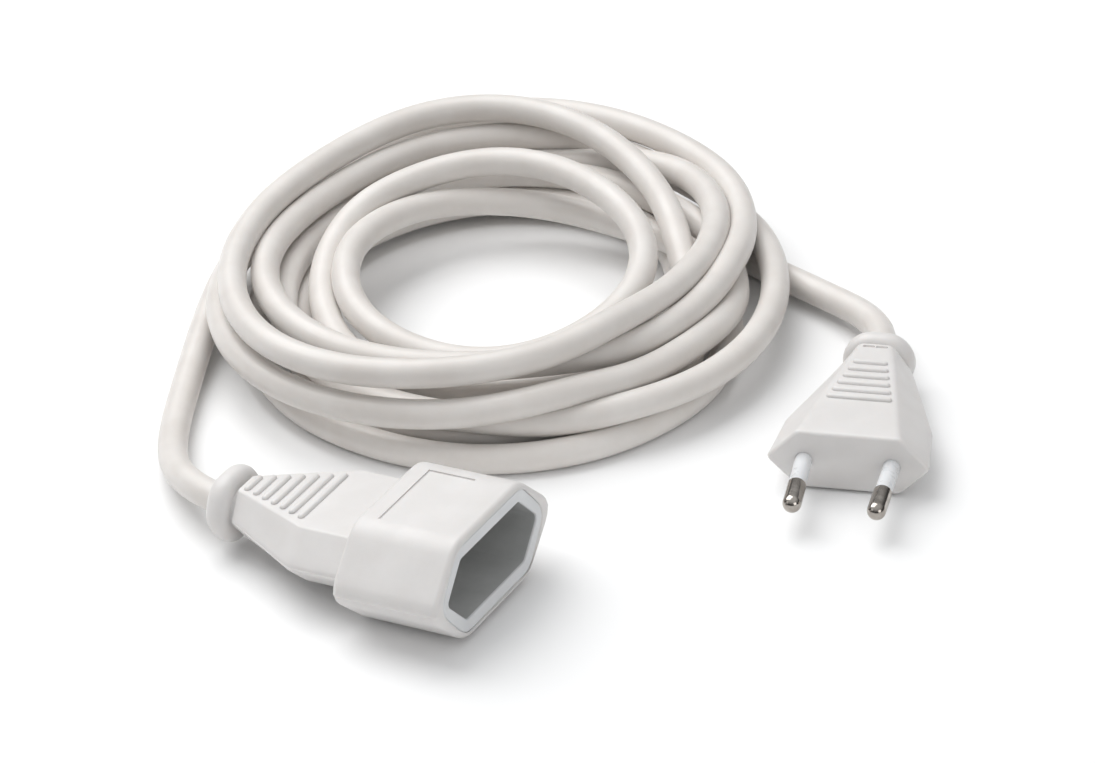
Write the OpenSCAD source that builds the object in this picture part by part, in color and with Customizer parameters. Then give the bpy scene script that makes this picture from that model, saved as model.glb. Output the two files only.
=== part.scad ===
// Two-pole flat-plug extension cord: a moulded plug, a loosely coiled round cord and a moulded
// coupler socket. Millimetres, +Z up, standing on Z = 0. The origin is below the middle of the
// socket, and +X runs along the socket towards its mouth.

/* [Socket] */
// Width of the socket's front block across its side edges
block_w = 48.6; // [45:0.2:50]
// Height of the front block
block_h = 22.8; // [22:0.1:25]
// Length of the front block
block_l = 24.6; // [23:0.1:27]
// Depth of the recess that the plug goes into
recess_depth = 15; // [14:0.5:16]
// Width of the recess across its side edges
recess_w = 36.8; // [36.2:0.1:37.2]
// Height of the recess
recess_h = 14.2; // [14.1:0.1:14.6]
// Length of the socket from its mouth to the back of its collar
socket_l = 65; // [64:0.5:68]
// Angle that the socket leans back on its collar
socket_tilt = 3; // [2:0.5:3.5]

/* [Plug] */
// Width of the plug's front face across its side edges
plug_w = 35.3; // [35:0.1:35.6]
// Height of the plug's front face
plug_h = 13.7; // [13.5:0.1:14]
// Length of the plug body from its front face to the back of its collar
plug_l = 45.5; // [44:0.5:48]
// Length of the plug's straight front part
plug_straight = 14; // [12:0.5:15]
// Distance between the pins at the front face
pin_spacing = 18.6; // [18:0.1:19.2]
// Distance between the pins at their tips
pin_tip_spacing = 17.5; // [17:0.1:18]
// Diameter of the bare metal end of a pin
pin_d = 4; // [3.9:0.05:4.1]
// Length of a pin from the front face to its tip
pin_l = 19; // [18.5:0.5:19]
// Length of a pin that its insulating sleeve covers
sleeve_l = 10; // [9:0.5:10]

/* [Cord] */
// Diameter of the cord's sheath
cord_d = 6.5; // [6:0.1:7]
// Outer radius of the coil
coil_r = 68; // [60:0.5:72]
// Radial width of the coil
coil_band = 32; // [24:1:36]
// Height of the coil
coil_h = 24; // [18:1:28]

/* [Hidden] */
$fn = 48;

// Play that keeps two touching pieces from sharing a face
gap = 0.02;

// Socket: stations along X, counted back from the mouth at X = 0
neck_w = 36.8;
neck_h = 13;
neck_end = 38;
taper_end = 58.5;
taper_w = 14;
taper_h = 11.4;
taper_flat = 6;
collar_edge = 2;
collar_w = 18.6;
collar_h = 15;
insert_wall = 2.7;
insert_floor = 2.5;
chamber_w = 27.6;
chamber_h = 9;
chamber_end = 35;
cap_t = 2.4;
entry_r = 2.5;
chamber_r = 3.3;
contact_r = 3;
contact_bore_r = 1.95;
rib_count = 7;
rib_first = 39.7;
rib_pitch = 2.8;
rib_r = 0.9;

// Plug: stations along X, counted back from the front face at X = 0
plug_flat = 21.8;
plug_taper_end = 39;
plug_taper_w = 15.6;
plug_taper_h = 13.2;
plug_taper_flat = 7;
plug_collar_w = 18;
plug_collar_h = 13.4;
sleeve_r = 1.8;
shank_r = 1.45;
carrier_front = 1.6;
carrier_back = 9.5;
pin_back = 12;
crimp_back = 17.5;
plug_rib_count = 6;
plug_rib_first = 15.2;
plug_rib_pitch = 3;

// Conductors inside the mouldings
crimp_r = 1.35;
crimp_bore_r = 0.8;
strand_r = 0.56;
core_r = 1.2;
core_y = 1.3;
socket_sheath_x = 53;
plug_sheath_x = 28;

// Where the plug lies: the middle of its front face, and its heading
plug_pos = [76.76, 71.08, 7.35];
plug_heading = -73.7;
coil_pos = [-24, 103, 0];

// Routes of the two free stretches, from the mouldings to the coil
socket_route = [
    [-32.62, 0, 9.26], [-38, 1.4, 8.8], [-44, 4.6, 7.8], [-50, 9.4, 6.2], [-55.6, 15.6, 4.7],
    [-60.4, 22.8, 3.6], [-64.6, 30.8, 3.3], [-68.6, 39.4, 3.3], [-72.4, 48.4, 3.4], [-75.8, 57.6, 3.8]
];
plug_route = [
    [63.99, 114.75, 7.35], [61.7, 120.4, 7.1], [57.8, 126, 6.5], [52.7, 130.5, 5.8],
    [46.6, 133.9, 5.1], [40.4, 136.4, 4.5], [34.2, 138.4, 4.1]
];

// --- outlines and small helpers ---

// Six-sided outline with a pointed edge left and right
module hexagon(w, h, flat, r = 0) {
    offset(r = r, $fn = 24) offset(delta = -r)
        polygon([
            [w / 2, 0], [flat / 2, h / 2], [-flat / 2, h / 2],
            [-w / 2, 0], [-flat / 2, -h / 2], [flat / 2, -h / 2]
        ]);
}

// Extrudes a Y-Z outline along X between two stations
module slab(x0, x1) {
    translate([x0, 0, 0]) rotate([90, 0, 90]) linear_extrude(x1 - x0) children();
}

// Turned solid about the X axis, from an outline of [radius, x] points
module turned(outline) {
    rotate([90, 0, 90]) rotate_extrude() polygon(outline);
}

// Round rod between two points
module rod(a, b, r) {
    d = b - a;
    l = norm(d);
    translate(a) rotate([0, acos(d[2] / l), atan2(d[1], d[0])]) cylinder(r = r, h = l);
}

// Round bar along Y with chamfered ends
module grip_bar(half, r) {
    end = half + 0.5 * r;
    rotate([90, 0, 0]) rotate_extrude() polygon([
        [0, -end], [0.6 * r, -end], [r, 0.8 * r - end], [r, end - 0.8 * r], [0.6 * r, end], [0, end]
    ]);
}

// Round-edged oval bead around the cord's exit, between two stations
module collar(x0, x1, w, h) {
    e = collar_edge;
    l = x1 - x0;
    r = h / 2;
    hull() for (s = [-1, 1]) translate([x0, s * (w - h) / 2, 0]) turned([
        [0, 0], [r - e, 0], [r - e * 0.3, e * 0.3], [r, e],
        [r, l - e], [r - e * 0.3, l - e * 0.3], [r - e, l], [0, l]
    ], $fn = 32);
}

// Conductor that runs out of the sheath at x_sheath and fans out to y_end at x_end
module fanned_core(x_sheath, x_end, y_end, r, side) {
    run = x_end - x_sheath;
    tube([
        [x_sheath, side * core_y, 0],
        [x_sheath + run * 0.15, side * core_y * 1.1, 0],
        [x_sheath + run * 0.35, side * (core_y + (y_end - core_y) * 0.25), 0],
        [x_sheath + run * 0.65, side * (core_y + (y_end - core_y) * 0.75), 0],
        [x_sheath + run * 0.85, side * y_end, 0],
        [x_end, side * y_end, 0]
    ], r, 10);
}

module at_socket() {
    back = socket_l * cos(socket_tilt) + (collar_h / 2 - collar_edge) * sin(socket_tilt);
    front = block_h / 2 * sin(socket_tilt);
    rise = block_l * sin(socket_tilt) + block_h / 2 * cos(socket_tilt);
    translate([(back - front) / 2, 0, rise])
        rotate([0, -socket_tilt, 0]) children();
}

module at_plug() {
    translate(plug_pos) rotate([0, 0, plug_heading]) children();
}

// Leans a pin inwards so that its tip is at pin_tip_spacing
module at_pin(side) {
    lean = atan2((pin_spacing - pin_tip_spacing) / 2, pin_l);
    translate([0, side * pin_spacing / 2, 0]) rotate([0, 0, -side * lean]) children();
}

// --- swept round tube along a route ---

function unit(v) = v / norm(v);
function tangent(p, i) = unit(p[min(i + 1, len(p) - 1)] - p[max(i - 1, 0)]);
function side_of(t) = unit(cross([0, 0, 1], t));
function ring(c, t, r, n) = let (u = side_of(t), v = cross(t, u))
    [for (k = [0:n - 1]) c + r * (cos(360 * k / n) * u + sin(360 * k / n) * v)];

module tube(route, r, n = 12) {
    m = len(route);
    points = [for (i = [0:m - 1]) each ring(route[i], tangent(route, i), r, n)];
    walls = [for (i = [0:m - 2], k = [0:n - 1])
        [i * n + k, (i + 1) * n + k, (i + 1) * n + (k + 1) % n, i * n + (k + 1) % n]];
    first = [for (k = [0:n - 1]) k];
    last = [for (k = [n - 1:-1:0]) (m - 1) * n + k];
    polyhedron(points, concat(walls, [first, last]), convexity = 6);
}

// --- socket ---

module insert_outline(extra = 0) {
    hexagon(recess_w + 2 * insert_wall + 2 * extra, recess_h + 2 * insert_wall + 2 * extra,
        23.6 + insert_wall + extra, 1.2);
}

module chamber_block(longer = 0, extra = 0) {
    slab(-chamber_end - longer, -recess_depth)
        offset(r = 1.5, $fn = 24)
            square([chamber_w - 3 + 2 * extra, chamber_h - 3 + 2 * extra], center = true);
}

module socket_core_path(r, side) {
    fanned_core(-socket_sheath_x, -41.5, pin_spacing / 2, r, side);
}

module socket_shape() {
    slab(-block_l, 0) hexagon(block_w, block_h, 26, 2.5);
    slab(-neck_end, -block_l + 1) hexagon(neck_w, neck_h, 23.8, 0.8);
    hull() {
        slab(-neck_end - 0.1, -neck_end) hexagon(neck_w, neck_h, 23.8, 0.8);
        slab(-taper_end - 0.1, -taper_end) hexagon(taper_w, taper_h, taper_flat, 0.8);
    }
    collar(-socket_l, -taper_end, collar_w, collar_h);
    for (face = [-1, 1], i = [0:rib_count - 1]) {
        x = rib_first + i * rib_pitch;
        f = (x - neck_end) / (taper_end - neck_end);
        z = (neck_h + f * (taper_h - neck_h)) / 2;
        translate([-x, 0, face * (z - rib_r * 0.45)]) grip_bar(8.6 - i * 0.95, rib_r);
    }
}

module socket_body() {
    color("whitesmoke") at_socket() difference() {
        socket_shape();
        slab(-recess_depth - insert_floor - gap, 1) insert_outline(gap);
        chamber_block(cap_t + gap, gap);
        for (side = [-1, 1]) {
            rod([-41.6, side * pin_spacing / 2, 0], [-chamber_end, side * pin_spacing / 2, 0], crimp_r + gap);
            socket_core_path(core_r + gap, side);
        }
        rod([-socket_l - 1, 0, 0], [-socket_sheath_x, 0, 0], cord_d / 2 + gap);
    }
}

module socket_insert() {
    color("gainsboro") at_socket() difference() {
        union() {
            slab(-recess_depth - insert_floor, 0) insert_outline();
            chamber_block();
        }
        slab(-recess_depth, 1) hexagon(recess_w, recess_h, 23.6, 0.8);
        for (side = [-1, 1]) {
            rod([-30, side * pin_spacing / 2, 0], [1, side * pin_spacing / 2, 0], entry_r);
            rod([-chamber_end - 1, side * pin_spacing / 2, 0],
                [-recess_depth - insert_floor, side * pin_spacing / 2, 0], chamber_r);
        }
    }
}

module socket_insert_cap() {
    color("lightgray") at_socket() difference() {
        slab(-chamber_end - cap_t, -chamber_end - gap)
            offset(r = 1.5, $fn = 24) square([chamber_w - 3, chamber_h - 3], center = true);
        for (side = [-1, 1])
            rod([-chamber_end - 5, side * pin_spacing / 2, 0], [-chamber_end + 1, side * pin_spacing / 2, 0],
                crimp_r + gap);
    }
}

// Slotted sprung tube that grips a pin, with a crimp barrel behind it
module socket_contact(side) {
    back = 34.6;
    difference() {
        translate([0, side * pin_spacing / 2, 0]) turned([
            [crimp_bore_r, -41.3], [crimp_r, -41.3], [crimp_r, -back], [contact_r, -back],
            [contact_r, -18.2], [contact_r - 0.5, -17.7], [contact_bore_r + 0.4, -17.7],
            [contact_bore_r, -18.4], [contact_bore_r, -back + 0.8], [crimp_bore_r, -back + 0.8]
        ]);
        translate([-33, side * pin_spacing / 2 - 0.5, 0]) cube([20, 1, contact_r + 1]);
        translate([-33, side * pin_spacing / 2 - 0.5, -contact_r - 1]) cube([20, 1, contact_r + 1]);
    }
}

module socket_contact_line() { color("goldenrod") at_socket() socket_contact(-1); }
module socket_contact_neutral() { color("goldenrod") at_socket() socket_contact(1); }
module socket_core_brown() { color("saddlebrown") at_socket() socket_core_path(core_r, -1); }
module socket_core_blue() { color("royalblue") at_socket() socket_core_path(core_r, 1); }

module socket_strands(side) {
    y = side * pin_spacing / 2;
    rod([-41.5, y, 0], [-36, y, 0], strand_r);
}

module socket_strands_brown() { color("peru") at_socket() socket_strands(-1); }
module socket_strands_blue() { color("peru") at_socket() socket_strands(1); }

module socket_cord_end() {
    color("whitesmoke") at_socket() rod([-socket_l, 0, 0], [-socket_sheath_x - gap, 0, 0], cord_d / 2);
}

// --- plug ---

module plug_core_path(r, side) {
    fanned_core(-plug_sheath_x, -crimp_back - 0.2, pin_spacing / 2 + 0.4, r, side);
}

module plug_shape() {
    slab(-plug_straight, 0) hexagon(plug_w, plug_h, plug_flat, 0.9);
    hull() {
        slab(-plug_straight - 0.1, -plug_straight) hexagon(plug_w, plug_h, plug_flat, 0.9);
        slab(-plug_taper_end - 0.1, -plug_taper_end)
            hexagon(plug_taper_w, plug_taper_h, plug_taper_flat, 0.9);
    }
    collar(-plug_l, -plug_taper_end + 1, plug_collar_w, plug_collar_h);
    for (face = [-1, 1], i = [0:plug_rib_count - 1]) {
        x = plug_rib_first + i * plug_rib_pitch;
        f = (x - plug_straight) / (plug_taper_end - plug_straight);
        z = (plug_h + f * (plug_taper_h - plug_h)) / 2;
        translate([-x, 0, face * (z - rib_r * 0.45)]) grip_bar(6.8 - i * 0.66, rib_r);
    }
}

// Shape of the rigid bridge that holds both pins
module carrier_shape(extra = 0) {
    slab(-carrier_back - extra, -carrier_front + extra)
        hexagon(28 + 2 * extra, 9.4 + 2 * extra, 19.6 + extra, 1);
}

module pin_outline_cut(r) {
    for (side = [-1, 1]) at_pin(side) rod([-crimp_back - gap, 0, 0], [0, 0, 0], r);
}

module plug_body() {
    color("whitesmoke") at_plug() difference() {
        plug_shape();
        carrier_shape(gap);
        for (side = [-1, 1]) {
            at_pin(side) rod([-carrier_front - 1, 0, 0], [1, 0, 0], sleeve_r + gap);
            at_pin(side) rod([-crimp_back - 0.3, 0, 0], [-carrier_back + 1, 0, 0], shank_r + 0.05);
            plug_core_path(core_r + gap, side);
            // shallow slots over the cord's exit
            hull() for (y = [0.95, 1.85])
                translate([-37.2, side * y, plug_taper_h / 2 - 0.9]) cylinder(r = 0.45, h = 3);
        }
        rod([-plug_l - 1, 0, 0], [-plug_sheath_x, 0, 0], cord_d / 2 + gap);
        translate([0.3, 0, -0.6]) sphere(r = 0.7);
    }
}

module plug_pin_carrier() {
    color("gainsboro") at_plug() difference() {
        carrier_shape();
        for (side = [-1, 1]) at_pin(side) {
            rod([-carrier_front - 1, 0, 0], [1, 0, 0], sleeve_r + gap);
            rod([-carrier_back - 2, 0, 0], [0, 0, 0], shank_r + gap);
            rod([-6.6, 0, 0], [-4.9, 0, 0], 2.2 + gap);
        }
    }
}

// Pin: bare round-tipped end, thin shank under the sleeve, flange and crimp barrel
module pin() {
    r = pin_d / 2;
    tip = [for (a = [0:9:90]) [r * cos(a), pin_l - r + r * sin(a)]];
    turned(concat([
        [0, -pin_back], [crimp_bore_r, -pin_back], [crimp_bore_r, -crimp_back], [crimp_r, -crimp_back],
        [crimp_r, -pin_back], [shank_r, -pin_back + 0.4], [shank_r, -6.5], [2.2, -6.5], [2.2, -5],
        [shank_r, -5], [shank_r, sleeve_l], [r, sleeve_l]
    ], [for (q = tip) [max(q[0], 0), q[1]]]));
}

module plug_pin_line() { color("silver") at_plug() at_pin(-1) pin(); }
module plug_pin_neutral() { color("silver") at_plug() at_pin(1) pin(); }

module sleeve() {
    front = sleeve_l - gap;
    turned([
        [shank_r + gap, -carrier_front - 1], [sleeve_r, -carrier_front - 1],
        [sleeve_r, front], [shank_r + gap, front]
    ]);
}

module plug_sleeve_line() { color("white") at_plug() at_pin(-1) sleeve(); }
module plug_sleeve_neutral() { color("white") at_plug() at_pin(1) sleeve(); }
module plug_core_brown() { color("saddlebrown") at_plug() plug_core_path(core_r, -1); }
module plug_core_blue() { color("royalblue") at_plug() plug_core_path(core_r, 1); }

module plug_strands_brown() {
    color("peru") at_plug() at_pin(-1) rod([-crimp_back - 0.2, 0, 0], [-pin_back - 0.3, 0, 0], strand_r);
}

module plug_strands_blue() {
    color("peru") at_plug() at_pin(1) rod([-crimp_back - 0.2, 0, 0], [-pin_back - 0.3, 0, 0], strand_r);
}

module plug_cord_end() {
    color("whitesmoke") at_plug() rod([-plug_l, 0, 0], [-plug_sheath_x - gap, 0, 0], cord_d / 2);
}

// --- cord ---

module cord_lead_socket() { color("whitesmoke") tube(socket_route, cord_d / 2); }
module cord_lead_plug() { color("whitesmoke") tube(plug_route, cord_d / 2); }

// Outer shape of the coiled turns
module cord_coil() {
    edge = cord_d / 2;
    color("whitesmoke") translate(coil_pos) rotate_extrude($fn = 96)
        translate([coil_r - coil_band + edge, edge])
            offset(r = edge, $fn = 24) square([coil_band - 2 * edge, coil_h - 2 * edge]);
}

socket_body();
socket_insert();
socket_insert_cap();
socket_contact_line();
socket_contact_neutral();
socket_core_brown();
socket_core_blue();
socket_strands_brown();
socket_strands_blue();
socket_cord_end();
plug_body();
plug_pin_carrier();
plug_pin_line();
plug_pin_neutral();
plug_sleeve_line();
plug_sleeve_neutral();
plug_core_brown();
plug_core_blue();
plug_strands_brown();
plug_strands_blue();
plug_cord_end();
cord_lead_socket();
cord_coil();
cord_lead_plug();
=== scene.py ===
"""Two-pole extension cord: the looks. Metres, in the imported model's own frame."""
import math

import bmesh
import bpy
import numpy as np
from mathutils import Matrix, Vector


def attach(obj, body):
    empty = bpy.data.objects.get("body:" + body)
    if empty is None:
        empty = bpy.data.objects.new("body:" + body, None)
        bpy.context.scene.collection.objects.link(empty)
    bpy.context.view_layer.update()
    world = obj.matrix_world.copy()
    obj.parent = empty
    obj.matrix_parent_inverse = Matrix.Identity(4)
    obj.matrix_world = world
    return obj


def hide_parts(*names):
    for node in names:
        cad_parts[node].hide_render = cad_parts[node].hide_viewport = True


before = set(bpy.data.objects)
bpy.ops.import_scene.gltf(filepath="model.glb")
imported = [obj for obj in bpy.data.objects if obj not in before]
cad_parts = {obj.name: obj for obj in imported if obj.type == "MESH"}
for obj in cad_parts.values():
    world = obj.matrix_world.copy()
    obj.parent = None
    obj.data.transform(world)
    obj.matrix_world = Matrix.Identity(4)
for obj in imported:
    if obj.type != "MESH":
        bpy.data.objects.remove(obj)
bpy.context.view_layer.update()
MM = 0.001

# ---------------------------------------------------------------- sizes (millimetres)

CORD_D = 6.5

# Socket: x runs back from the mouth at 0, the socket leans back by TILT degrees
TILT = 3.0
SOCKET_L = 65.0
BLOCK_L, BLOCK_W, BLOCK_H, BLOCK_FLAT = 24.6, 49.9, 22.8, 26.4
NECK_END, NECK_W, NECK_H, NECK_FLAT = 38.0, 36.8, 13.0, 23.8
TAPER_END, TAPER_W, TAPER_H, TAPER_FLAT = 58.5, 14.0, 11.4, 6.0
RECESS_DEPTH, RECESS_W, RECESS_H, RECESS_FLAT = 15.0, 36.8, 14.2, 23.6
INSERT_WALL, INSERT_CORNER, INSERT_SEAT = 2.9, 4.2, 17.5
BLOCK_CORNER, BLOCK_TIP = 7.0, 3.8
ENTRY_R = 2.5
BORE_R, BORE_START, BORE_END = 3.05, 17.0, 36.0
PIN_SPACING, PIN_TIP_SPACING = 18.6, 17.5

# Corner radii and parting ridges of the two mouldings
NECK_CORNER, NECK_TIP, NECK_RIDGE = 1.1, 1.4, 0.12
PLUG_CORNER, PLUG_TIP, PLUG_RIDGE = 2.4, 1.4, 0.1
BLOCK_RIDGE = 0.22
RECESS_CORNER = 1.6

# Finger ribs: how far they lie sunk, and their radius on the socket and on the plug
RIB_LIFT = 0.02
SOCKET_RIB_R, PLUG_RIB_R = 0.8, 0.75

# The engraved panel on the block's top: its depth and its corners
PANEL_DEPTH = 0.32
PANEL_LOW, PANEL_HIGH = (-19.9, -10.2), (-8.9, 10.2)

# Plug: x runs back from the front face at 0
PLUG_L, PLUG_W, PLUG_H, PLUG_FLAT = 45.5, 35.3, 13.7, 21.8
PLUG_STRAIGHT, PLUG_TAPER_END = 14.0, 39.0
PLUG_WAIST_W, PLUG_WAIST_FLAT = 33.0, 16.6
PLUG_TAPER_W, PLUG_TAPER_H, PLUG_TAPER_FLAT = 15.6, 13.2, 7.0
PIN_D, PIN_L, SLEEVE_L, SLEEVE_R = 4.0, 19.0, 10.0, 1.8
PIN_LEAN = math.degrees(math.atan2((PIN_SPACING - PIN_TIP_SPACING) / 2, PIN_L))

# Where the plug lies: the middle of its front face, and its heading
PLUG_POS = (76.76, 71.08, 7.35)
PLUG_HEADING = -73.7


def socket_place():
    """Puts the socket's own coordinates into the frame, as the CAD model does."""
    t = math.radians(TILT)
    back = SOCKET_L * math.cos(t) + 5.5 * math.sin(t)
    front = BLOCK_H / 2 * math.sin(t)
    rise = BLOCK_L * math.sin(t) + BLOCK_H / 2 * math.cos(t)
    lean = Matrix.Rotation(-t, 4, "Y")
    return Matrix.Translation(((back - front) / 2 * MM, 0, rise * MM)) @ lean


def plug_place():
    turn = Matrix.Rotation(math.radians(PLUG_HEADING), 4, "Z")
    return Matrix.Translation([v * MM for v in PLUG_POS]) @ turn


def pin_place(side):
    lean = Matrix.Rotation(math.radians(-side * PIN_LEAN), 4, "Z")
    return plug_place() @ Matrix.Translation((0, side * PIN_SPACING / 2 * MM, 0)) @ lean


# ---------------------------------------------------------------- camera

CAMERA_PLACE = (424.1, -648.1, 508.7)
CAMERA_TARGET = (-2.4, 84.0, 0)
CAMERA_LENS = 147.95
CAMERA_ROLL = -2.57


def make_camera():
    data = bpy.data.cameras.new("camera")
    data.lens = CAMERA_LENS
    data.sensor_width = 36
    data.clip_end = 10
    cam = bpy.data.objects.new("camera", data)
    bpy.context.scene.collection.objects.link(cam)
    place = Vector(CAMERA_PLACE) * MM
    target = Vector(CAMERA_TARGET) * MM
    look = (target - place).to_track_quat("-Z", "Y").to_matrix().to_4x4()
    roll = Matrix.Rotation(math.radians(CAMERA_ROLL), 4, "Z")
    cam.matrix_world = Matrix.Translation(place) @ look @ roll
    bpy.context.scene.camera = cam


make_camera()

# ---------------------------------------------------------------- materials


def shader(name, color, roughness, **sockets):
    """A new material and its Principled node, with plain values on the node's own sockets."""
    mat = bpy.data.materials.new(name)
    mat.use_nodes = True
    bsdf = mat.node_tree.nodes["Principled BSDF"]
    bsdf.inputs["Base Color"].default_value = (*color, 1)
    bsdf.inputs["Roughness"].default_value = roughness
    for key, value in sockets.items():
        bsdf.inputs[key.replace("_", " ")].default_value = value
    return mat, bsdf


def node(mat, kind, **inputs):
    made = mat.node_tree.nodes.new(kind)
    for key, value in inputs.items():
        made.inputs[key.replace("_", " ")].default_value = value
    return made


def object_coords(mat, scale=(1, 1, 1)):
    coords = node(mat, "ShaderNodeTexCoord")
    mapping = node(mat, "ShaderNodeMapping", Scale=scale)
    mat.node_tree.links.new(coords.outputs["Object"], mapping.inputs["Vector"])
    return mapping.outputs["Vector"]


def noise(mat, vector, scale, detail=4.0, roughness=0.55):
    made = node(mat, "ShaderNodeTexNoise", Scale=scale, Detail=detail, Roughness=roughness)
    mat.node_tree.links.new(vector, made.inputs["Vector"])
    return made.outputs["Fac"]


def ramp(mat, value, low, high, at=(0.35, 0.65)):
    made = node(mat, "ShaderNodeValToRGB")
    made.color_ramp.elements[0].position = at[0]
    made.color_ramp.elements[0].color = (*low, 1)
    made.color_ramp.elements[1].position = at[1]
    made.color_ramp.elements[1].color = (*high, 1)
    mat.node_tree.links.new(value, made.inputs["Fac"])
    return made.outputs["Color"]


def bump(mat, bsdf, layers):
    """Chains bump nodes: each layer is (height output, strength, distance in metres)."""
    last = None
    for height, strength, distance in layers:
        made = node(mat, "ShaderNodeBump", Strength=strength, Distance=distance)
        mat.node_tree.links.new(height, made.inputs["Height"])
        if last:
            mat.node_tree.links.new(last, made.inputs["Normal"])
        last = made.outputs["Normal"]
    mat.node_tree.links.new(last, bsdf.inputs["Normal"])


def moulded(name, low, high, roughness, grain=0.35, grain_scale=2600):
    """Moulded plastic: faint cloudiness, a fine eroded grain, and gloss that varies a little."""
    mat, bsdf = shader(name, high, roughness, IOR=1.52)
    link = mat.node_tree.links.new
    vector = object_coords(mat)
    cloud = noise(mat, vector, 90, 5)
    link(ramp(mat, cloud, low, high), bsdf.inputs["Base Color"])
    fine = noise(mat, vector, grain_scale, 3)
    patches = ramp(mat, noise(mat, vector, 220, 4), (roughness - 0.05,) * 3, (roughness + 0.07,) * 3)
    link(patches, bsdf.inputs["Roughness"])
    bump(mat, bsdf, [(fine, grain, 0.00004), (noise(mat, vector, 300, 2), 0.12, 0.0001)])
    return mat, bsdf


def soft_white(name, low, high, roughness):
    """Soft PVC: moulded plastic that lets a little light in."""
    mat, bsdf = moulded(name, low, high, roughness)
    bsdf.inputs["Subsurface Weight"].default_value = 0.12
    bsdf.inputs["Subsurface Radius"].default_value = (1.0, 0.75, 0.6)
    bsdf.inputs["Subsurface Scale"].default_value = 0.0015
    return mat


def polished_metal(name, low, high, roughness, scratch=0.15):
    """Turned and plated metal with faint rings and handling marks."""
    mat, bsdf = shader(name, high, roughness, Metallic=1.0)
    link = mat.node_tree.links.new
    vector = object_coords(mat)
    link(ramp(mat, noise(mat, vector, 450, 6), low, high), bsdf.inputs["Base Color"])
    marks = noise(mat, object_coords(mat, (1, 6, 6)), 900, 6, 0.7)
    link(ramp(mat, marks, (roughness * 0.7,) * 3, (roughness * 1.7,) * 3), bsdf.inputs["Roughness"])
    bump(mat, bsdf, [(marks, scratch, 0.00003)])
    return mat


def stranded(name, low, high):
    """Bunched bare wire: fine lengthwise ridges with a copper colour."""
    mat, bsdf = shader(name, high, 0.32, Metallic=1.0)
    link = mat.node_tree.links.new
    ridges = node(mat, "ShaderNodeTexWave", Scale=900, Distortion=3.0)
    link(object_coords(mat), ridges.inputs["Vector"])
    link(ramp(mat, ridges.outputs["Fac"], low, high), bsdf.inputs["Base Color"])
    bump(mat, bsdf, [(ridges.outputs["Fac"], 0.6, 0.0001)])
    return mat


BODY_WHITE = soft_white("body_white", (0.69, 0.67, 0.655), (0.73, 0.712, 0.70), 0.42)
CORD_WHITE = soft_white("cord_white", (0.69, 0.655, 0.622), (0.74, 0.71, 0.68), 0.38)
INSERT_WHITE = soft_white("insert_white", (0.66, 0.67, 0.68), (0.71, 0.72, 0.73), 0.5)
# The recess's inside: painted shade, a mid grey standing for the shade that falls inside the socket's mouth
RECESS_PAINTED_SHADE = moulded("recess_painted_shade", (0.36, 0.365, 0.36), (0.44, 0.445, 0.44), 0.55)[0]
SLEEVE_WHITE = soft_white("sleeve_white", (0.72, 0.725, 0.735), (0.77, 0.775, 0.785), 0.3)
# Pin metal darkened below plated nickel's own colour: painted dark reflection of the dim surroundings
NICKEL_DARK_REFLECTION = polished_metal("nickel_dark_reflection", (0.36, 0.33, 0.30), (0.50, 0.465, 0.43), 0.13, 0.05)
BRASS = polished_metal("brass", (0.55, 0.40, 0.18), (0.72, 0.55, 0.28), 0.28)
BROWN = moulded("brown_core", (0.12, 0.045, 0.02), (0.16, 0.06, 0.03), 0.4)[0]
BLUE = moulded("blue_core", (0.02, 0.07, 0.30), (0.03, 0.10, 0.40), 0.4)[0]
COPPER = stranded("copper_strands", (0.45, 0.20, 0.10), (0.80, 0.42, 0.25))

# ---------------------------------------------------------------- the cord

# The free stretches' routes, as in the CAD model
SOCKET_ROUTE = [
    (-32.62, 0, 9.26), (-38, 1.4, 8.8), (-44, 4.6, 7.8), (-50, 9.4, 6.2), (-55.6, 15.6, 4.7),
    (-60.4, 22.8, 3.6), (-64.6, 30.8, 3.3), (-68.6, 39.4, 3.3), (-72.4, 48.4, 3.4), (-75.8, 57.6, 3.8),
]
PLUG_ROUTE = [
    (63.99, 114.75, 7.35), (61.7, 120.4, 7.1), (57.8, 126, 6.5), (52.7, 130.5, 5.8),
    (46.6, 133.9, 5.1), (40.4, 136.4, 4.5), (34.2, 138.4, 4.1),
]

# The coil's turns, clockwise from above: radius and height at eight stations of 45 degrees,
# which start at the coil's left and go round by its back, right and front
COIL_CENTRE = (-22.0, 99.6)
COIL_LEFT = (-0.864, -0.503)
STATION = 45
TURNS = [
    [(67.5, 4.2), (68, 9), (74.5, 17), (67.5, 15.5), (52, 14.5), (45, 15.5), (43, 16.3), (49, 16.5)],
    [(53.5, 17), (54, 17), (64.5, 15.5), (65, 9.5), (61.5, 9.2), (60, 9.5), (54.5, 9.3), (51, 9)],
    [(49.5, 10.5), (51, 10.5), (54, 11), (52, 11), (52.5, 11), (51.5, 12.2), (57, 13.2), (64, 12.7)],
    [(63.5, 12), (62, 10), (61.5, 9), (61.5, 15), (46, 17.5), (41, 20), (52.5, 21.8), (63, 21)],
    [(60, 20.3), (58, 22), (67, 22.3), (48.5, 18.5), (40.5, 12.7), (52, 3.6), (51, 4.2), (52.5, 3.2)],
    [(45.5, 6), (49.5, 5), (52.5, 5), (49, 6), (41.5, 5), (39.5, 7.5), (40.5, 8), (42, 9)],
    [(40, 11.5), (43, 16.5), (44, 20), (34.5, 20), (32, 18.7), (33.5, 16), (33, 11), (34, 12.3)],
    [(35.5, 15), (38.5, 15.2), (41, 10.5), (42, 8), (50, 3.3), (56, 3.2), (61, 3.2), (58, 3.2)],
    [(56.5, 3.2), (58, 3.2), (60, 3.2), (58, 3.2)],
]

# Curve points between two route points and between two stations, blending, and the path's spacing
LEAD_STEPS, COIL_STEPS = 6, 9
BLEND_ROUNDS = 6
PATH_STEP = 5.0

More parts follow.
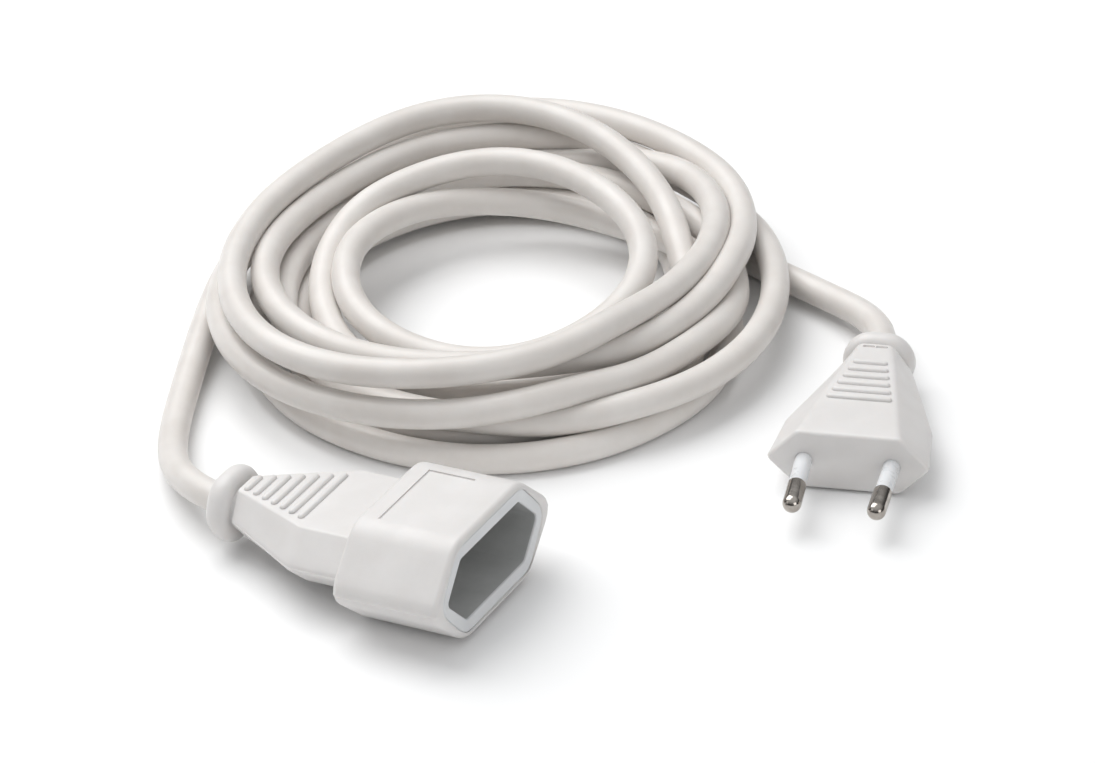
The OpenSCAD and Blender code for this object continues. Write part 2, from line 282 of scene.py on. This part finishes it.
# How hard turns press each other, resist bending and return to their stations
PRESS, STIFFNESS, PULL_BACK = 0.35, 0.7, 0.02


def catmull(points, steps):
    """Smooth curve through points, with so many steps in each gap."""
    points = np.array(points, float)
    padded = np.vstack([points[0], points, points[-1]])
    t = (np.arange(steps) / steps)[:, None]
    spans = []
    for p0, p1, p2, p3 in zip(padded, padded[1:], padded[2:], padded[3:]):
        a = 2 * p1
        b = (p2 - p0) * t
        c = (2 * p0 - 5 * p1 + 4 * p2 - p3) * t ** 2
        d = (3 * p1 - 3 * p2 + p3 - p0) * t ** 3
        spans.append(0.5 * (a + b + c + d))
    return np.vstack(spans + [points[-1:]])


def even(points, step):
    """The same path with evenly spaced points."""
    run = np.concatenate([[0], np.cumsum(np.linalg.norm(np.diff(points, axis=0), axis=1))])
    at = np.linspace(0, run[-1], int(round(run[-1] / step)) + 1)
    return np.stack([np.interp(at, run, points[:, i]) for i in range(3)], axis=1)


def coil_path():
    """The coiled turns from the stations' radii and heights."""
    stations = [(360 * k + STATION * i, *rh) for k, turn in enumerate(TURNS) for i, rh in enumerate(turn)]
    angle, radius, height = catmull(stations, COIL_STEPS).T
    angle = np.radians(angle)
    left = np.array(COIL_LEFT)
    back = np.array((left[1], -left[0]))
    flat = np.outer(radius * np.cos(angle), left) + np.outer(radius * np.sin(angle), back)
    return np.column_stack([flat + COIL_CENTRE, height])


def settle(path, rounds=240, apart=6, held=8):
    """Presses the cord's turns apart where they meet, and keeps them stiff and above the floor.
    Points up to so many apart along the cord don't press, and so many at each end are held."""
    start = path.copy()
    path = path.copy()
    index = np.arange(len(path))
    near = np.abs(index[:, None] - index[None, :]) <= apart
    for _ in range(rounds):
        gap = path[:, None] - path[None]
        dist = np.sqrt((gap ** 2).sum(-1)) + 1e-9
        over = np.where(near, 0, np.clip(CORD_D - dist, 0, None))
        move = (gap / dist[..., None] * over[..., None]).sum(1) * PRESS
        bend = -path[:-4] + 4 * path[1:-3] - 6 * path[2:-2] + 4 * path[3:-1] - path[4:]
        move[2:-2] += STIFFNESS * bend / 16
        move += PULL_BACK * (start - path)
        move[:held] = 0
        move[-held:] = 0
        path += move
        path[:, 2] = np.maximum(path[:, 2], CORD_D / 2)
    return path


def cord_path():
    """The whole centre line: the two free stretches meet the coil a few points short of their ends."""
    lead_in = catmull(SOCKET_ROUTE, LEAD_STEPS)
    lead_out = catmull(PLUG_ROUTE[::-1], LEAD_STEPS)
    path = np.vstack([lead_in[:-5], coil_path()[3:], lead_out[4:]])
    for _ in range(BLEND_ROUNDS):
        path[1:-1] = 0.5 * path[1:-1] + 0.25 * (path[:-2] + path[2:])
    return settle(even(path, PATH_STEP)) * MM


def make_cord(path):
    curve = bpy.data.curves.new("cord", "CURVE")
    curve.dimensions = "3D"
    curve.bevel_depth = CORD_D / 2 * MM
    curve.bevel_resolution = 7
    curve.use_fill_caps = True
    curve.resolution_u = 3
    spline = curve.splines.new("NURBS")
    spline.points.add(len(path) - 1)
    for point, place in zip(spline.points, path):
        point.co = (*place, 1)
    spline.order_u = 4
    spline.use_endpoint_u = True
    cord = bpy.data.objects.new("cord", curve)
    bpy.context.scene.collection.objects.link(cord)
    curve.materials.append(CORD_WHITE)
    return cord


PATH = cord_path()
cord = make_cord(PATH)

# ---------------------------------------------------------------- mesh tools


def new_object(name, mesh, mats, place=Matrix.Identity(4), smooth=35):
    """Links a mesh as a piece, in the frame, with smooth shading up to an angle."""
    mesh.transform(place)
    obj = bpy.data.objects.new(name, mesh)
    bpy.context.scene.collection.objects.link(obj)
    for mat in mats:
        mesh.materials.append(mat)
    mesh.shade_smooth()
    mesh.set_sharp_from_angle(angle=math.radians(smooth))
    return obj


# Where round a corner its arc's points lie: close together in the middle, for the parting ridge
ARC = (0, 0.2, 0.38, 0.46, 0.5, 0.54, 0.62, 0.8, 1)


def hexagon(w, h, flat, r, tip_r=None, ridge=0.0, long=5):
    """Six-sided outline in millimetres as (y, z) points, its two side tips rounded by tip_r and its
    other corners by r. A parting ridge may stand proud along the tips."""
    corners = [Vector(c) for c in (
        (w / 2, 0), (flat / 2, h / 2), (-flat / 2, h / 2),
        (-w / 2, 0), (-flat / 2, -h / 2), (flat / 2, -h / 2),
    )]
    arcs = []
    for i, c in enumerate(corners):
        tip = i in (0, 3)
        radius = (tip_r or r) if tip else r
        a = (corners[i - 1] - c).normalized()
        b = (corners[(i + 1) % 6] - c).normalized()
        half = a.angle(b) / 2
        centre = c + (a + b).normalized() * radius / math.sin(half)
        start = c + a * radius / math.tan(half) - centre
        turn = math.pi - 2 * half
        arc = []
        for f in ARC:
            spin = Matrix.Rotation(turn * f, 2)
            out = radius + (ridge if tip and f == 0.5 else 0)
            arc.append(centre + (spin @ start).normalized() * out)
        arcs.append(arc)
    points = []
    for i, arc in enumerate(arcs):
        after = arcs[(i + 1) % 6][0]
        points += arc + [arc[-1].lerp(after, k / long) for k in range(1, long)]
    return points


def loft(sections, close_start=True, close_end=True):
    """A bmesh skin through sections, each a list of (x, y, z) with the same number of points."""
    bm = bmesh.new()
    rings = [[bm.verts.new(Vector(p) * MM) for p in section] for section in sections]
    for ring, after in zip(rings, rings[1:]):
        for i in range(len(ring)):
            j = (i + 1) % len(ring)
            bm.faces.new((ring[i], ring[j], after[j], after[i]))
    if close_start:
        bm.faces.new(rings[0][::-1])
    if close_end:
        bm.faces.new(rings[-1])
    bmesh.ops.recalc_face_normals(bm, faces=bm.faces)
    return bm


def section(x, points):
    return [(x, p[0], p[1]) for p in points]


def rounded_rim(x, direction, r, outline, steps=5):
    """Sections that round an outline's rim: the face lies at x, and the skin goes that way from it.
    The outline is a function of how far its skin is drawn in."""
    made = []
    for k in range(steps + 1):
        a = math.pi / 2 * k / steps
        made.append(section(x + direction * r * (1 - math.cos(a)), outline(r * (1 - math.sin(a)))))
    return made


def to_mesh(bm, name):
    mesh = bpy.data.meshes.new(name)
    bm.to_mesh(mesh)
    bm.free()
    return mesh


def turned(name, outline, segments=48):
    """A turned closed solid about X from (x, radius) points, in millimetres."""
    bm = bmesh.new()
    rings = []
    for x, r in outline:
        if r == 0:
            rings.append([bm.verts.new((x * MM, 0, 0))])
            continue
        angles = [2 * math.pi * k / segments for k in range(segments)]
        around = [(x * MM, r * math.cos(a) * MM, r * math.sin(a) * MM) for a in angles]
        rings.append([bm.verts.new(point) for point in around])
    for ring, after in zip(rings, rings[1:] + ([rings[0]] if outline[0][1] else [])):
        for k in range(segments):
            j = (k + 1) % segments
            near, far = len(ring), len(after)
            corners = [ring[k % near], ring[j % near], after[j % far], after[k % far]]
            bm.faces.new(list(dict.fromkeys(corners)))
    bmesh.ops.recalc_face_normals(bm, faces=bm.faces)
    return to_mesh(bm, name)


def grip_bar(half, r, flat=0.6):
    """A half-sunk bar along Y with round ends, as a bmesh about the origin."""
    bm = bmesh.new()
    bmesh.ops.create_uvsphere(bm, u_segments=20, v_segments=12, radius=r * MM)
    for v in bm.verts:
        v.co.y += half * MM if v.co.y > 1e-7 else -half * MM if v.co.y < -1e-7 else 0
        v.co.z *= flat
    return bm


def join(name, bms):
    """One mesh of several bmeshes."""
    mesh = bpy.data.meshes.new(name)
    whole = bmesh.new()
    for bm in bms:
        part = bpy.data.meshes.new("part")
        bm.to_mesh(part)
        bm.free()
        whole.from_mesh(part)
        bpy.data.meshes.remove(part)
    whole.to_mesh(mesh)
    whole.free()
    return mesh


def cut(obj, tool_mesh, place):
    """Takes a tool's shape out of a piece and throws the tool away."""
    tool_mesh.transform(place)
    tool = bpy.data.objects.new("tool", tool_mesh)
    bpy.context.scene.collection.objects.link(tool)
    mod = obj.modifiers.new("cut", "BOOLEAN")
    mod.object = tool
    mod.operation = "DIFFERENCE"
    mod.solver = "EXACT"
    bpy.context.view_layer.objects.active = obj
    bpy.ops.object.modifier_apply(modifier=mod.name)
    bpy.data.objects.remove(tool)


def merge(obj, others):
    """Joins other objects' meshes into one piece."""
    bpy.ops.object.select_all(action="DESELECT")
    for o in [obj, *others]:
        o.select_set(True)
    bpy.context.view_layer.objects.active = obj
    bpy.ops.object.join()


def box_mesh(name, low, high):
    bm = bmesh.new()
    bmesh.ops.create_cube(bm, size=1)
    size = [b - a for a, b in zip(low, high)]
    middle = [(b + a) / 2 for a, b in zip(low, high)]
    for v in bm.verts:
        v.co = Vector([(c * s + m) * MM for c, s, m in zip(v.co, size, middle)])
    return to_mesh(bm, name)


# ---------------------------------------------------------------- socket


def between(a, b, f):
    return a + (b - a) * f


def block_outline(inset=0.0):
    w, h, flat = BLOCK_W - 2 * inset, BLOCK_H - 2 * inset, BLOCK_FLAT - inset
    return hexagon(w, h, flat, BLOCK_CORNER, BLOCK_TIP, BLOCK_RIDGE)


def neck_outline(f=0.0, grow=0.0):
    """The neck's outline, or the taper's at a fraction of the way to the collar."""
    return hexagon(
        between(NECK_W, TAPER_W, f) + 2 * grow, between(NECK_H, TAPER_H, f) + 2 * grow,
        between(NECK_FLAT, TAPER_FLAT, f) + grow, NECK_CORNER, NECK_TIP, NECK_RIDGE)


def socket_jacket():
    """The soft outer moulding: block, neck, taper and collar in one skin, hollow for the insert."""
    w, h, flat = RECESS_W + 2 * INSERT_WALL, RECESS_H + 2 * INSERT_WALL, RECESS_FLAT + INSERT_WALL
    rim = hexagon(w, h, flat, INSERT_CORNER)
    lip = hexagon(w + 0.5, h + 0.5, flat + 0.3, INSERT_CORNER)
    skin = [section(-INSERT_SEAT, rim), section(-0.3, rim), section(-0.05, lip)]
    skin += rounded_rim(0, -1, 1.3, block_outline)
    skin.append(section(-BLOCK_L / 2, block_outline()))
    skin += rounded_rim(-BLOCK_L, 1, 1.6, block_outline, 6)[::-1]
    for k in range(5):
        a = math.pi / 2 * k / 4
        skin.append(section(-BLOCK_L - 0.7 * (1 - math.cos(a)), neck_outline(0, 0.7 * (1 - math.sin(a)))))
    skin.append(section(-NECK_END + 0.5, neck_outline()))
    for f in (0.02, 0.25, 0.5, 0.75, 1.0):
        skin.append(section(-between(NECK_END, TAPER_END, f), neck_outline(f)))
    skin += collar_sections(TAPER_END, SOCKET_L, 18.8, 15.4, 10.0)
    return loft(skin)


def collar_sections(x0, x1, w, h, flat):
    """A round-edged oval bead between two stations, and the small mouth that the cord comes out of."""
    corner, mouth = 6.4, CORD_D + 0.1

    def bead(inset):
        return hexagon(w - 2 * inset, h - 2 * inset, flat - inset, corner - inset)

    # a groove in front of the bead, then its full rounded rim, and a flatter back
    made = [section(-x0 - 0.3, bead(3.3)), section(-x0 - 1.0, bead(3.0))]
    made += rounded_rim(-x0 - 1.0, -1, 2.3, bead, 7)
    made += rounded_rim(-x1, 1, 3.0, bead, 7)[::-1]
    made.append(section(-x1, hexagon(mouth + 1.2, mouth + 1.2, 2.6, 2.9)))
    made.append(section(-x1 + 0.5, hexagon(mouth, mouth, 2.3, 2.6)))
    made.append(section(-x1 + 3, hexagon(mouth, mouth, 2.3, 2.6)))
    return made


def socket_ribs():
    """Finger ribs across both faces of the taper."""
    bars = []
    for face in (-1, 1):
        for i in range(7):
            x = 39.7 + 2.83 * i
            f = (x - NECK_END) / (TAPER_END - NECK_END)
            z = between(NECK_H, TAPER_H, f) / 2
            bar = grip_bar(9.0 - 1.05 * i - 0.5, SOCKET_RIB_R, 0.9)
            bar.transform(Matrix.Translation((-x * MM, 0, face * (z + RIB_LIFT) * MM)))
            bars.append(bar)
    return bars


def make_socket_body():
    place = socket_place()
    body = new_object("socket_jacket", to_mesh(socket_jacket(), "socket_jacket"), [BODY_WHITE], smooth=40)
    top = BLOCK_H / 2
    panel = box_mesh("panel", (*PANEL_LOW, top - PANEL_DEPTH), (*PANEL_HIGH, top + 1))
    cut(body, panel, Matrix.Identity(4))
    for side in (-1, 1):
        outline = [(-BORE_END, 0), (-BORE_END, BORE_R), (-BORE_START, BORE_R), (-BORE_START, 0)]
        cut(body, turned("bore", outline), Matrix.Translation((0, side * PIN_SPACING / 2 * MM, 0)))
    ribs = new_object("ribs", join("ribs", socket_ribs()), [BODY_WHITE])
    merge(body, [ribs])
    body.data.transform(place)
    return body


def make_socket_insert():
    """The hard ring and the recess with two entry holes in its floor."""

    def rim(grow):
        """The ring's outer outline, drawn in or out."""
        wall = INSERT_WALL + grow
        return hexagon(RECESS_W + 2 * wall, RECESS_H + 2 * wall, RECESS_FLAT + wall, INSERT_CORNER)

    def mouth(grow):
        return hexagon(RECESS_W + 2 * grow, RECESS_H + 2 * grow, RECESS_FLAT + grow, RECESS_CORNER)

    skin = [section(-INSERT_SEAT, rim(-0.05)), section(-0.4, rim(-0.05)), section(-0.15, rim(-0.3))]
    skin += [section(-0.15, mouth(0.35)), section(-0.3, mouth(0.1)), section(-0.6, mouth(0))]
    skin += [section(-RECESS_DEPTH + 0.5, mouth(0)), section(-RECESS_DEPTH, mouth(-0.5))]
    bm = loft(skin)
    # Faces deep in the recess that face into it get the painted shade; the ring and the outer faces stay
    # white
    for face in bm.faces:
        middle = face.calc_center_median()
        deep = middle.x < -0.7 * MM
        inside = abs(middle.z) < (RECESS_H / 2 + 0.3) * MM and face.normal.x > -0.5
        outward = Vector((0, middle.y, middle.z)).dot(face.normal) > 0
        face.material_index = 1 if deep and inside and not (outward and abs(face.normal.x) < 0.5) else 0
    insert = new_object("socket_recess", to_mesh(bm, "socket_recess"), [INSERT_WHITE, RECESS_PAINTED_SHADE], smooth=30)
    for side in (-1, 1):
        wide = ENTRY_R + 0.4
        outline = [(-19, 0), (-19, ENTRY_R), (-15.4, ENTRY_R), (-14.9, wide), (-13, wide), (-13, 0)]
        cut(insert, turned("hole", outline), Matrix.Translation((0, side * PIN_SPACING / 2 * MM, 0)))
    insert.data.transform(socket_place())
    return insert


# ---------------------------------------------------------------- plug


def plug_outline(x, inset=0.0):
    """The plug's outline at a distance behind its front face."""
    if x <= PLUG_STRAIGHT:
        f = x / PLUG_STRAIGHT
        w, h = between(PLUG_W, PLUG_WAIST_W, f), PLUG_H
        flat = between(PLUG_FLAT, PLUG_WAIST_FLAT, f)
    else:
        f = (x - PLUG_STRAIGHT) / (PLUG_TAPER_END - PLUG_STRAIGHT)
        w, h = between(PLUG_WAIST_W, PLUG_TAPER_W, f), between(PLUG_H, PLUG_TAPER_H, f)
        flat = between(PLUG_WAIST_FLAT, PLUG_TAPER_FLAT, f)
    return hexagon(w - 2 * inset, h - 2 * inset, flat - inset, PLUG_CORNER, PLUG_TIP, PLUG_RIDGE)


def make_plug_body():
    skin = rounded_rim(0, -1, 0.9, lambda inset: plug_outline(0, inset))
    skin += [section(-PLUG_STRAIGHT * f, plug_outline(PLUG_STRAIGHT * f)) for f in (0.3, 0.7, 0.97)]
    for f in (0.03, 0.25, 0.5, 0.75, 0.97):
        x = between(PLUG_STRAIGHT, PLUG_TAPER_END, f)
        skin.append(section(-x, plug_outline(x)))
    skin += collar_sections(PLUG_TAPER_END, PLUG_L, 18.4, 13.4, 9.6)
    body = new_object("plug_moulding", to_mesh(loft(skin), "plug_moulding"), [BODY_WHITE], smooth=40)
    bars = []
    for face in (-1, 1):
        for i in range(6):
            x = 15.2 + 3 * i
            f = (x - PLUG_STRAIGHT) / (PLUG_TAPER_END - PLUG_STRAIGHT)
            half_h = between(PLUG_H, PLUG_TAPER_H, f) / 2
            bar = grip_bar(6.8 - 0.66 * i - 0.5, PLUG_RIB_R, 0.9)
            bar.transform(Matrix.Translation((-x * MM, 0, face * (half_h + RIB_LIFT) * MM)))
            bars.append(bar)
    for side in (-1, 1):
        slot = grip_bar(0.9, 0.45, 1)
        slot.transform(Matrix.Translation((-37.2 * MM, side * 1.4 * MM, 6.55 * MM)))
        cut(body, to_mesh(slot, "slot"), Matrix.Identity(4))
        seat = turned("seat", [(-3, 0), (-3, SLEEVE_R + 0.05), (1, SLEEVE_R + 0.05), (1, 0)])
        cut(body, seat, Matrix.Translation((0, side * PIN_SPACING / 2 * MM, 0)))
    merge(body, [new_object("ribs", join("ribs", bars), [BODY_WHITE])])
    body.data.transform(plug_place())
    return body


def make_pin(name, side):
    """Bare pin end with a round tip, and its shank inside the sleeve."""
    r = PIN_D / 2
    tip = [(PIN_L - r + r * math.sin(a), r * math.cos(a)) for a in np.linspace(0, math.pi / 2, 10)]
    tip[-1] = (PIN_L, 0)
    outline = [(-2, 0), (-2, 1.45), (SLEEVE_L, 1.45), (SLEEVE_L, r - 0.15), (SLEEVE_L + 0.15, r), *tip]
    return new_object(name, turned(name, outline, 64), [NICKEL_DARK_REFLECTION], pin_place(side), smooth=35)


def make_sleeve(name, side):
    """Insulating sleeve, a closed tube with a small chamfer at its outer end."""
    end = SLEEVE_L - 0.05
    outline = [(-2.4, 1.5), (-2.4, SLEEVE_R), (end - 0.2, SLEEVE_R), (end, SLEEVE_R - 0.15), (end, 1.5)]
    return new_object(name, turned(name, outline, 64), [SLEEVE_WHITE], pin_place(side), smooth=35)


# ---------------------------------------------------------------- make and attach the pieces

socket_body = make_socket_body()
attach(socket_body, "root")
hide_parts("socket_body")

socket_insert = make_socket_insert()
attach(socket_insert, "root")
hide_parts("socket_insert")

plug_body = make_plug_body()
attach(plug_body, "root")
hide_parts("plug_body")

plug_pieces = [plug_body]
for pole, side in (("line", -1), ("neutral", 1)):
    pin = make_pin("pin_" + pole, side)
    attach(pin, "root")
    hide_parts("plug_pin_" + pole)
    sleeve = make_sleeve("sleeve_" + pole, side)
    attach(sleeve, "root")
    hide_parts("plug_sleeve_" + pole)
    plug_pieces += [pin, sleeve]

CARRIED = {
    "socket_insert_cap": INSERT_WHITE,
    "socket_contact_line": BRASS, "socket_contact_neutral": BRASS,
    "socket_core_brown": BROWN, "socket_core_blue": BLUE,
    "socket_strands_brown": COPPER, "socket_strands_blue": COPPER,
    "socket_cord_end": CORD_WHITE,
    "plug_pin_carrier": INSERT_WHITE,
    "plug_core_brown": BROWN, "plug_core_blue": BLUE,
    "plug_strands_brown": COPPER, "plug_strands_blue": COPPER,
    "plug_cord_end": CORD_WHITE,
}
for name, mat in CARRIED.items():
    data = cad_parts[name].data
    data.materials.clear()
    data.materials.append(mat)

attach(cord, "root")
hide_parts("cord_lead_socket", "cord_coil", "cord_lead_plug")

# ---------------------------------------------------------------- stage and light


WORLD_STRENGTH = 0.75
FLOOR_HALF = 6


def make_floor():
    bm = bmesh.new()
    bmesh.ops.create_grid(bm, x_segments=1, y_segments=1, size=FLOOR_HALF)
    floor = bpy.data.objects.new("floor", to_mesh(bm, "floor"))
    bpy.context.scene.collection.objects.link(floor)
    mat, bsdf = shader("floor", (0.92, 0.92, 0.92), 0.8)
    floor.data.materials.append(mat)


def soft_light(name, place, target, size, power):
    data = bpy.data.lights.new(name, "AREA")
    data.shape = "RECTANGLE"
    data.size, data.size_y = size
    data.energy = power
    light = bpy.data.objects.new(name, data)
    bpy.context.scene.collection.objects.link(light)
    light.location = place
    light.rotation_euler = (Vector(target) - Vector(place)).to_track_quat("-Z", "Y").to_euler()


def make_world():
    """Studio surroundings: bright overhead, dim towards the horizon."""
    world = bpy.data.worlds.new("world")
    world.use_nodes = True
    bpy.context.scene.world = world
    nodes, link = world.node_tree.nodes, world.node_tree.links.new
    direction = nodes.new("ShaderNodeTexCoord")
    split = nodes.new("ShaderNodeSeparateXYZ")
    height = nodes.new("ShaderNodeValToRGB")
    height.color_ramp.elements[0].position = 0.25
    height.color_ramp.elements[0].color = (0.10, 0.10, 0.10, 1)
    height.color_ramp.elements[1].position = 0.8
    height.color_ramp.elements[1].color = (0.98, 0.99, 1, 1)
    link(direction.outputs["Generated"], split.inputs["Vector"])
    link(split.outputs["Z"], height.inputs["Fac"])
    link(height.outputs["Color"], nodes["Background"].inputs["Color"])
    nodes["Background"].inputs["Strength"].default_value = WORLD_STRENGTH


make_floor()
make_world()
soft_light("key", (-0.6, 0.25, 1.0), (0, 0.08, 0), (1.15, 1.15), 12.5)
soft_light("left_fill", (-0.75, -0.85, 0.6), (0, 0.08, 0.01), (0.6, 0.6), 0.7)
soft_light("right_fill", (1.0, -0.35, 0.35), (0, 0.05, 0.01), (0.6, 0.5), 2.0)
bpy.context.scene.view_settings.view_transform = "Standard"
